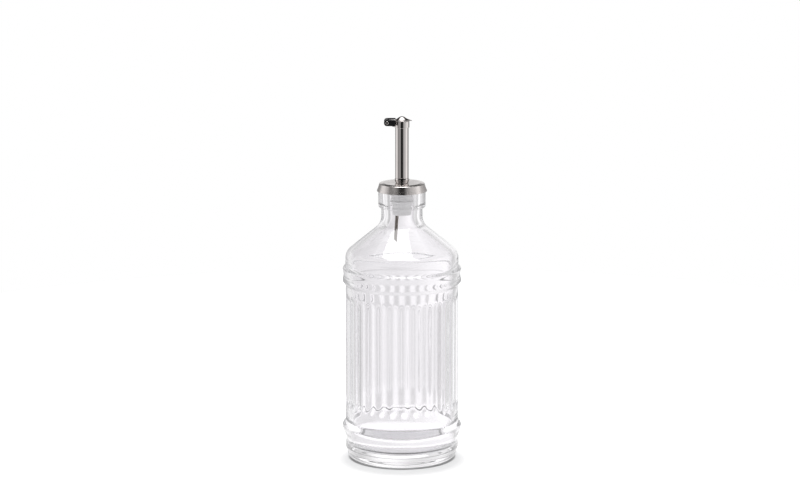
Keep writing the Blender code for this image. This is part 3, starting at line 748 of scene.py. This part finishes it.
def flute_dip(turn, up):
    """How deep the flutes go at this angle and height: a soft wave with round ends."""
    pitch = math.tau / FLUTE_COUNT
    aside = ((turn - FLUTE_TURN) / pitch + 0.5) % 1.0 - 0.5
    past_end = max(FLUTE_LOW + FLUTE_END - up, up - FLUTE_HIGH + FLUTE_END, 0.0) / FLUTE_END
    distance = math.hypot(aside * 2.0, past_end)
    return FLUTE_DEPTH * 0.5 * (1.0 + math.cos(math.pi * min(distance, 1.0)))


def swell_at(place, across):
    """How far the glass stands out here: flutes outside, the mould's slight ripple inside."""
    up = place.z
    if across > BODY_RADIUS - NOTHING and FLUTE_LOW <= up <= FLUTE_HIGH:
        return -flute_dip(math.atan2(place.y, place.x), up)
    inside = BODY_RADIUS - GLASS_WALL + NOTHING
    if across < inside and FLOOR_CENTRE + MM < up < SHOULDER_CORNER:
        return RIPPLE * noise.noise(place * RIPPLE_FINENESS)
    return 0.0


def build_bottle(glass):
    """The glass bottle in one piece, inside and outside."""
    shape = spun(outer_outline() + inner_outline(), BOTTLE_SIDES)
    for point in shape.verts:
        across = math.hypot(point.co.x, point.co.y)
        if across > NOTHING:
            grown = 1.0 + swell_at(point.co, across) / across
            point.co.x *= grown
            point.co.y *= grown
    bottle = object_of("glass_bottle", shape, sharp_deg=50.0)
    return dress(bottle, glass, "clear_glass", "bottle", "bottle_body")


# Pourer


def build_plug(plastic):
    """The sealing plug: a flange on the lip, two fins in the bore and a rounded nose."""
    nose_top = plug_low.z + PLUG_NOSE_LENGTH
    rib = lip_top - RIB_DEPTH
    corners = [(PLUG_BORE, plug_low.z, PLUG_ROUND),
               (PLUG_NOSE, plug_low.z, PLUG_NOSE_FILLET),
               (PLUG_NOSE, rib - RIB_HALF, PLUG_ROUND),
               (PLUG_NOSE + RIB_RISE, rib, PLUG_ROUND),
               (PLUG_NOSE, rib + RIB_HALF, PLUG_ROUND),
               (PLUG_NOSE, nose_top, SLIGHT_ROUND),
               (PLUG_CORE, nose_top, FIN_ROUND)]
    for depth in FIN_DEPTHS:
        middle = lip_top - depth
        share = depth / (lip_top - NECK_CORNER)
        edge = MOUTH_BORE + (NECK_BORE - MOUTH_BORE) * share - SEAT_GAP
        corners += [(PLUG_CORE, middle - FIN_ROOT_HALF, SLIGHT_ROUND),
                    (edge, middle - FIN_EDGE_HALF, FIN_ROUND),
                    (edge, middle + FIN_EDGE_HALF, FIN_ROUND),
                    (PLUG_CORE, middle + FIN_ROOT_HALF, SLIGHT_ROUND)]
    flange_low_fillet, flange_top_fillet = FLANGE_FILLETS
    corners += [(PLUG_CORE, lip_top + SEAT_GAP, PLUG_ROUND),
                (plug_high.x, lip_top + SEAT_GAP, flange_low_fillet),
                (plug_high.x, flange_top, flange_top_fillet),
                (PLUG_BORE, flange_top, SLIGHT_ROUND)]
    shape = spun(filleted(corners, step_deg=30.0), PLUG_SIDES, ring=True)
    return dress(object_of("sealing_plug", shape), plastic, "translucent_plastic", "plug",
                 "stopper_plug")


def build_cap(steel):
    """The drawn disc: flat top, dipping near its edge, and a skirt that flares to its lip."""
    low = cap_low.z
    top = cap_high.z
    bend, bend_height, bend_fillet = SKIRT_BEND
    inner_bend, inner_height, inner_fillet = SKIRT_BEND_INSIDE
    edge_fillet, inner_edge_fillet = CAP_EDGE_FILLETS
    outline = filleted([(CAP_HOLE, top - CAP_SHEET, CUT_ROUND),
                        (CAP_HOLE, top, EDGE_ROUND),
                        (DIP_START, top, DIP_FILLET),
                        (CAP_EDGE, top - DIP_DEPTH, edge_fillet),
                        (bend, low + bend_height, bend_fillet),
                        (cap_high.x, low + SKIRT_LIP, SLIGHT_ROUND),
                        (cap_high.x, low, LIP_ROUND),
                        (cap_high.x - CAP_SHEET, low, LIP_ROUND),
                        (inner_bend, low + inner_height, inner_fillet),
                        (CAP_EDGE - CAP_SHEET, top - DIP_DEPTH - CAP_SHEET, inner_edge_fillet),
                        (DIP_START, top - CAP_SHEET, DIP_FILLET)], step_deg=4.0)
    shape = spun(outline, CAP_SIDES, ring=True)
    return dress(object_of("cap_disc", shape), steel, "polished_steel", "spout", "cap_cover")


def build_ferrule(steel):
    """The turned bush: a shank in the plug, a waisted neck, a flare and a spigot in the tube."""
    shank = PLUG_BORE - SEAT_GAP
    tube = tube_high.x
    spigot = tube - TUBE_WALL - SEAT_GAP
    seat = tube_low.z - SEAT_GAP
    corners = [(FERRULE_MOUTH, ferrule_low.z, CUT_ROUND),
               (shank, ferrule_low.z, FIN_ROUND),
               (shank, flange_top, 0.0),
               (FERRULE_NECK, flange_top, 0.0),
               (FERRULE_NECK, cap_high.z + FERRULE_NECK_RISE, 0.0),
               (FERRULE_WAIST, cap_high.z + FERRULE_WAIST_RISE, 0.0),
               (ferrule_high.x, seat - FLARE_DROP, EDGE_ROUND),
               (tube, seat, FINE_ROUND),
               (tube - TUBE_STEP_IN, seat + TUBE_STEP_UP, 0.0),
               (spigot, seat + TUBE_STEP_UP, 0.0),
               (spigot, ferrule_high.z, EDGE_ROUND),
               (FERRULE_BORE, ferrule_high.z, 0.0),
               (FERRULE_BORE, flange_top, 0.0),
               (FERRULE_MOUTH, flange_top - FERRULE_MOUTH_DEPTH, 0.0)]
    shape = spun(filleted(corners, step_deg=15.0), TURNED_SIDES, ring=True)
    return dress(object_of("turned_ferrule", shape), steel, "polished_steel", "spout",
                 "tube_ferrule")


def build_tube(steel):
    """The plain tube between the ferrule and the collar."""
    outer = tube_high.x
    bore = outer - TUBE_WALL
    corners = [(bore, tube_low.z, CUT_ROUND), (outer, tube_low.z, LIP_ROUND),
               (outer, tube_high.z, EDGE_ROUND), (bore, tube_high.z, EDGE_ROUND)]
    shape = spun(filleted(corners, step_deg=20.0), TURNED_SIDES, ring=True)
    return dress(object_of("spout_tube", shape), steel, "polished_steel", "spout", "pour_tube")


def build_vent(steel):
    """The vent tube, cut aslant at its lower end."""
    corners = [(VENT_BORE, 0.0, FINE_ROUND), (VENT_RADIUS, 0.0, CUT_ROUND),
               (VENT_RADIUS, VENT_LENGTH, CUT_ROUND), (VENT_BORE, VENT_LENGTH, FINE_ROUND)]
    shape = spun(filleted(corners, step_deg=30.0), THIN_SIDES, ring=True)
    for point in shape.verts:
        if point.co.z < VENT_LENGTH / 2:
            point.co.z += (VENT_RADIUS - point.co.x) * VENT_SLANT
    middle = (breather_low + breather_high) / 2
    lean = Matrix.Translation(middle) @ Matrix.Rotation(math.atan(VENT_TILT), 4, "Y") \
        @ Matrix.Translation((0.0, 0.0, -VENT_LENGTH / 2))
    bmesh.ops.transform(shape, matrix=lean, verts=shape.verts)
    return dress(object_of("vent_tube", shape), steel, "polished_steel", "spout",
                 "breather_tube")


def build_collar(steel):
    """The sleeve round the mouth, with the hinge lug on its back."""
    low = collar_low.z
    high = collar_high.z
    radius = collar_high.x
    bore = tube_high.x + COLLAR_GAP
    sleeve = filleted([(bore, low, BORE_ROUND), (radius, low, CUT_ROUND),
                       (radius, high, SOFT_ROUND), (bore, high, BORE_ROUND)], step_deg=20.0)
    collar = object_of("mouth_collar", spun(sleeve, TURNED_SIDES, ring=True))
    lug_radius = pivot.x - collar_low.x
    outline = [(LUG_ROOT, pivot.z + lug_radius)]
    outline += arc((pivot.x, pivot.z), lug_radius, 90.0, 270.0, 16)
    outline += [(LUG_ROOT, pivot.z - lug_radius)]
    lug = object_of("lug", slab(outline, -LUG_HALF_WIDTH, LUG_HALF_WIDTH, EDGE_ROUND))
    carve(collar, [lug], "UNION")
    inside = spun([(0.0, low - MM), (bore, low - MM), (bore, high + MM), (0.0, high + MM)],
                  TURNED_SIDES)
    hole = rod_across(HINGE_HOLE, LUG_HALF_WIDTH + MM, pivot)
    carve(collar, [object_of("inside", inside), object_of("hole", hole)], "DIFFERENCE")
    return dress(collar, steel, "polished_steel", "spout", "hinge_collar")


def headed_pin(radius, head_radius, head_start, head_end, place):
    """A pin along Y with a domed head at each end."""
    edge = head_start + (head_end - head_start) * HEAD_EDGE_SHARE
    dome = [(head_radius * math.cos(turn), edge + (head_end - edge) * math.sin(turn))
            for turn in steps_between(0.0, math.pi / 2, 8)][:-1]
    half = [(radius, head_start), (head_radius, head_start)] + dome + [(0.0, head_end)]
    outline = [(across, -up) for across, up in reversed(half)] + half
    shape = spun(outline, THIN_SIDES)
    bmesh.ops.rotate(shape, verts=shape.verts, matrix=Matrix.Rotation(math.pi / 2, 3, "X"))
    bmesh.ops.translate(shape, verts=shape.verts, vec=place)
    return shape


def build_pin(steel):
    """The hinge pin, through the lug and both ears."""
    head_radius = (pin_high.x - pin_low.x) / 2
    shape = headed_pin(PIN_RADIUS, head_radius, pin_high.y - PIN_HEAD, pin_high.y, pivot)
    return dress(object_of("pivot_pin", shape), steel, "polished_steel", "spout", "hinge_pin")


# Flap


def lid_bell(radius):
    """A bell of sheet steel with a flat brim, open below, drawn out into a beak on +X."""
    def bell(share):
        swing = (1.0 + math.cos(math.pi * share ** BELL_FULLNESS)) / 2
        return lid_rim + (lid_high.z - LID_SHEET - lid_rim) * swing

    half_sheet = LID_SHEET / 2
    rim_share = 1.0 - LID_RIM_WIDTH / radius
    outside = steps_between(0.0, 1.0, BELL_STEPS)[:-1]
    inside = steps_between(rim_share - BELL_OVERLAP, 0.0, BELL_INSIDE_STEPS)
    outline = [(radius * share, bell(share) + LID_SHEET) for share in outside]
    outline += arc((radius - half_sheet, lid_rim + half_sheet), half_sheet, 85.0, -90.0, 7)
    outline += [(radius * rim_share, lid_rim)]
    outline += [(radius * share, bell(share)) for share in inside]
    shape = spun(outline, TURNED_SIDES)
    for point in shape.verts:
        reach = math.hypot(point.co.x, point.co.y)
        off_axis = math.atan2(point.co.y, point.co.x) / BEAK_SPREAD
        drawn = max(0.0, reach / radius - BEAK_ROOT) / (1.0 - BEAK_ROOT)
        sideways = math.exp(-off_axis * off_axis)
        point.co.x += BEAK_REACH * drawn * sideways
        point.co.z -= BEAK_DROOP * drawn * drawn * sideways
    return shape


def build_flap(steel):
    """The stamped lid: bell, strap, two ears round the lug and a tongue for the grip."""
    lid = object_of("flap_cover", lid_bell(lid_high.y))
    strap_low = lid_rim + STRAP_LIFT
    strap_middle = lid_rim + STRAP_SHEET / 2
    strap_front = STRAP_OVERLAP - lid_high.y
    strap_half = ear_outer + STRAP_MARGIN
    strap = slab([(strap_end, strap_low), (strap_front, strap_low), (strap_front, strap_top),
                  (strap_end, strap_top)], -strap_half, strap_half, CUT_ROUND)
    ear_round = pivot.z - lid_low.z
    ear = [(pivot.x + ear_round, strap_middle), (pivot.x - ear_round, strap_middle)]
    ear += arc((pivot.x, pivot.z), ear_round, 180.0, 360.0, 20)
    tongue_front = strap_end + STRAP_SHEET
    tongue_low = strap_top - TONGUE_HEIGHT
    tongue = slab([(lid_low.x, tongue_low), (tongue_front, tongue_low),
                   (tongue_front, strap_middle), (lid_low.x, strap_middle)],
                  -TONGUE_HALF, TONGUE_HALF, TONGUE_ROUND)
    tools = [object_of("strap", strap), object_of("tongue", tongue)]
    for low, high in ((-ear_outer, -ear_inner), (ear_inner, ear_outer)):
        tools.append(object_of("ear", slab(ear, low, high, CUT_ROUND)))
    carve(lid, tools, "UNION")
    pin_hole = rod_across(HINGE_HOLE, ear_outer + MM, pivot)
    rivet_hole = rod_across(RIVET_HOLE, RIVET_HOLE_REACH, rivet_place)
    carve(lid, [object_of("pin_hole", pin_hole), object_of("rivet_hole", rivet_hole)], "DIFFERENCE")
    return dress(lid, steel, "polished_steel", "flap", "flap_lid")


def build_grip(plastic):
    """The black thumb piece: a round end over the tongue, and cheeks that cover the hinge."""
    half_width = grip_high.y
    grip_top = grip_low.z + GRIP_HEIGHT
    end_round = GRIP_HEIGHT * GRIP_END_SHARE
    front_top_fillet, front_low_fillet = GRIP_FRONT_FILLETS
    outline = filleted([(grip_high.x, grip_top, front_top_fillet),
                        (grip_low.x, grip_top, end_round),
                        (grip_low.x, grip_low.z, end_round),
                        (grip_high.x, grip_low.z, front_low_fillet)], step_deg=12.0)
    grip = object_of("black_grip", slab(outline, -half_width, half_width, SOFT_ROUND, segments=4))
    cheek_inner = half_width - CHEEK_SHEET
    ceiling = strap_top + GRIP_GAP
    room = block((strap_end - SEAT_GAP, -cheek_inner, grip_low.z - MM),
                 (grip_high.x + MM, cheek_inner, ceiling))
    gap = block((pivot.x - SHELF_BACK, -cheek_inner, pivot.z),
                (grip_high.x + MM, cheek_inner, grip_high.z + MM))
    slot_half = TONGUE_HALF + SEAT_GAP
    slot = block((lid_low.x - SEAT_GAP, -slot_half, strap_top - TONGUE_HEIGHT - SEAT_GAP),
                 (pivot.x, slot_half, ceiling))
    hole = rod_across(RIVET_HOLE, half_width + MM, rivet_place)
    carve(grip, [object_of("hinge_room", room), object_of("strap_gap", gap),
                 object_of("tongue_slot", slot), object_of("rivet_hole", hole)], "DIFFERENCE")
    return dress(grip, plastic, "black_plastic", "flap", "thumb_grip")


def build_rivet(steel):
    """The bright rivet through the grip and the tongue."""
    head_radius = (rivet_high.x - rivet_low.x) / 2
    head_start = rivet_high.y - RIVET_HEAD
    shape = headed_pin(RIVET_RADIUS, head_radius, head_start, rivet_high.y, rivet_place)
    return dress(object_of("bright_rivet", shape), steel, "polished_steel", "flap", "grip_rivet")


# Studio


def make_floor():
    """A round white table top a hair under the bottle, which takes its shadow; a contact shadow is
    painted under the foot.
    """
    shape = bmesh.new()
    bmesh.ops.create_circle(shape, cap_ends=True, segments=TABLE_SIDES, radius=TABLE_RADIUS)
    bmesh.ops.translate(shape, verts=shape.verts, vec=(0.0, 0.0, -TABLE_DROP))
    floor = object_of("table_top", shape)
    material, build, shader, where = new_material("white_table")
    from_axis = build.node("VectorMath", operation="LENGTH")
    build.feed(where, from_axis.inputs[0])
    # Painted contact shadow: a dark ring in the table's colour under the foot ring.
    painted_shadow_ring = build.within(from_axis.outputs["Value"], FOOT_INNER,
                           FOOT_OUTER + HEEL_ROUND - PAINTED_SHADOW_EDGE / 2, PAINTED_SHADOW_EDGE)
    white = build.span(build.noise(where, scale=12.0), 0.0, 1.0, *TABLE_WHITE)
    shaded = build.span(painted_shadow_ring, 0.0, 1.0, 1.0, 1.0 - PAINTED_SHADOW_DARKNESS)
    build.feed(build.math("MULTIPLY", white, shaded), shader.inputs["Base Color"])
    shader.inputs["Roughness"].default_value = 0.9
    shader.inputs["Specular IOR Level"].default_value = 0.0
    shader.inputs["Emission Color"].default_value = (1.0, 1.0, 1.0, 1.0)
    rays = build.node("LightPath")
    seen = build.math("MAXIMUM", rays.outputs["Is Camera Ray"], rays.outputs["Is Glossy Ray"])
    # Painted shadow outline: the glow is left out round the foot and ramps up from a centre set
    # towards the camera.
    away = build.node("VectorMath", operation="DISTANCE")
    build.feed(where, away.inputs[0])
    away.inputs[1].default_value = GLOW_CENTRE
    glow = build.span(away.outputs["Value"], GLOW_START, GLOW_FULL, 0.0, TABLE_GLOW, "SMOOTHSTEP")
    build.feed(build.math("MULTIPLY", seen, glow), shader.inputs["Emission Strength"])
    faded = build.span(away.outputs["Value"], *TABLE_FADE, kind="SMOOTHSTEP")
    bent = build.math("MAXIMUM", rays.outputs["Is Transmission Ray"],
                      rays.outputs["Is Glossy Ray"])
    mix = build.node("MixShader")
    build.feed(build.math("MULTIPLY", faded, bent), mix.inputs[0])
    build.feed(shader.outputs[0], mix.inputs[1])
    build.feed(build.node("BsdfTransparent").outputs[0], mix.inputs[2])
    build.feed(mix.outputs[0], material.node_tree.nodes["Material Output"].inputs["Surface"])
    floor.data.materials.append(material)


def reflected_all_round(build, turn, height):
    """The brightness that steel and black plastic reflect: sweep, dark gap, ceiling and cards."""
    above = build.span(height, DARK_RISE[1] - CARD_EDGE / 2, DARK_RISE[1] + CARD_EDGE / 2,
                       SWEEP_LEVEL, CEILING_LEVEL, "SMOOTHSTEP")
    level = build.blend(build.within(height, *DARK_RISE, CARD_EDGE), above, DARK_LEVEL)
    for azimuth, half_width, high, brightness in CARDS:
        mask = build.math("MULTIPLY",
                          build.within(turn, azimuth - half_width, azimuth + half_width, CARD_EDGE),
                          build.within(height, CARD_LOW, high, CARD_EDGE))
        level = build.blend(mask, level, brightness)
    return level


def overhead_panel(build, across, away, rise):
    """1 in the directions of the overhead panel, and 0 elsewhere."""
    beside = build.math("DIVIDE", across, rise)
    behind = build.math("DIVIDE", away, rise)
    drawn_in = build.math("ADD", beside, build.math(
        "MULTIPLY", build.math("MINIMUM", behind, 0.0), PANEL_SPREAD))
    left, right = PANEL_ACROSS
    sides = build.math("MULTIPLY", build.within(beside, left, PANEL_FAR, PANEL_EDGE),
                       build.within(drawn_in, -PANEL_FAR, right, PANEL_EDGE))
    return build.math("MULTIPLY", sides, build.math(
        "MULTIPLY", build.within(behind, *PANEL_AWAY, PANEL_EDGE),
        build.math("GREATER_THAN", rise, 0.0)))


def seen_through_glass(build, around, turn, height, mirror_count):
    """The brightness that clear glass lets through, with its upright bands."""
    bands = build.math("COSINE", build.math("MULTIPLY_ADD", around, BAND_COUNT, BAND_SHIFT))
    through = build.math("SUBTRACT", BAND_MIDDLE, build.math("MULTIPLY", bands, BAND_SWING))
    dimmed = build.math("MULTIPLY", through, build.span(height, *HIGH_RISE, 1.0, HIGH_LEVEL))
    aside = build.math("ABSOLUTE", turn)
    mirrored = build.math("GREATER_THAN", mirror_count, ONCE_MIRRORED)
    nearest = build.blend(mirrored, 1.0 / SIDE_LEVEL, NEAR_LEVEL)
    for turns, least in ((SIDE_TURNS, SIDE_LEVEL), (NEAR_TURNS, nearest)):
        dimmed = build.math("MULTIPLY", dimmed, build.span(aside, *turns, least, 1.0, "SMOOTHSTEP"))
    return dimmed


def make_world():
    """White behind for the camera, cards for glossy rays and soft pale bands for clear glass."""
    world = bpy.data.worlds.new("studio")
    bpy.context.scene.world = world
    world.use_nodes = True
    build = Tree(world.node_tree)
    shader = world.node_tree.nodes["Background"]
    shader.inputs["Color"].default_value = (1.0, 1.0, 1.0, 1.0)
    split = build.node("SeparateXYZ")
    build.feed(build.node("TexCoord").outputs["Generated"], split.inputs[0])
    across, away, rise = split.outputs
    rays = build.node("LightPath")
    mirror_count = rays.outputs["Glossy Depth"]
    around = build.math("ARCTAN2", across, build.math("MULTIPLY", away, -1.0))
    turn = build.math("DEGREES", around)
    height = build.math("DEGREES", build.math("ARCSINE", rise))
    reflected = build.blend(overhead_panel(build, across, away, rise),
                            reflected_all_round(build, turn, height), PANEL_LEVEL)
    level = build.blend(rays.outputs["Is Glossy Ray"], AMBIENT_LEVEL, reflected)
    clear = build.math("MAXIMUM", rays.outputs["Is Transmission Ray"],
                       build.math("GREATER_THAN", mirror_count, MOST_MIRRORED))
    through = seen_through_glass(build, around, turn, height, mirror_count)
    level = build.blend(clear, level, through)
    shown = build.blend(rays.outputs["Is Camera Ray"], level, 1.0)
    build.feed(shown, shader.inputs["Strength"])


def make_softbox():
    """The overhead box. Steel and plastic reflect the world's panel in its place."""
    lamp = bpy.data.lights.new("overhead_box", "AREA")
    lamp.shape = "RECTANGLE"
    lamp.size, lamp.size_y = BOX_SIZE
    lamp.energy = BOX_LEVEL * math.pi * lamp.size * lamp.size_y
    box = bpy.data.objects.new("overhead_box", lamp)
    box.location = BOX_PLACE
    box.visible_camera = False
    box.visible_glossy = False
    box.visible_transmission = False
    bpy.context.scene.collection.objects.link(box)


def make_camera():
    """The camera at the photograph's angle."""
    camera = bpy.data.cameras.new("camera")
    camera.lens = CAMERA_LENS
    camera.sensor_width = CAMERA_SENSOR
    holder = bpy.data.objects.new("camera", camera)
    holder.location = (CAMERA_ASIDE, -CAMERA_BACK, CAMERA_HEIGHT)
    holder.rotation_euler = (math.radians(90.0 - CAMERA_TILT), 0.0, 0.0)
    bpy.context.scene.collection.objects.link(holder)
    bpy.context.scene.camera = holder


def main():
    handled = make_handled_group()
    rings = make_turned_group()
    disc_steel = make_steel("disc_steel", handled, rings, smooth=0.16, smudged=0.22,
                            ring_depth=0.001 * MM, fineness=4000.0,
                            satin_below=cap_high.z - SATIN_DROP)
    tube_steel = make_steel("tube_steel", handled, rings, smooth=0.025, smudged=0.045,
                            ring_depth=0.0006 * MM, fineness=3000.0)
    lid_steel = make_steel("lid_steel", handled, rings, smooth=0.06, smudged=0.12,
                           ring_depth=0.001 * MM, fineness=5000.0)
    vent_steel = make_steel("vent_steel", handled, rings, smooth=0.3, smudged=0.4,
                            ring_depth=0.002 * MM, fineness=5000.0, tints=VENT_TINTS)
    build_bottle(make_glass(handled))
    build_plug(make_plug_plastic(handled))
    build_cap(disc_steel)
    build_ferrule(tube_steel)
    build_tube(tube_steel)
    build_vent(vent_steel)
    build_collar(lid_steel)
    build_pin(lid_steel)
    build_flap(lid_steel)
    build_grip(make_black_plastic(handled))
    build_rivet(lid_steel)
    make_floor()
    make_world()
    make_softbox()
    make_camera()
    bpy.context.scene.view_settings.view_transform = "Standard"


main()
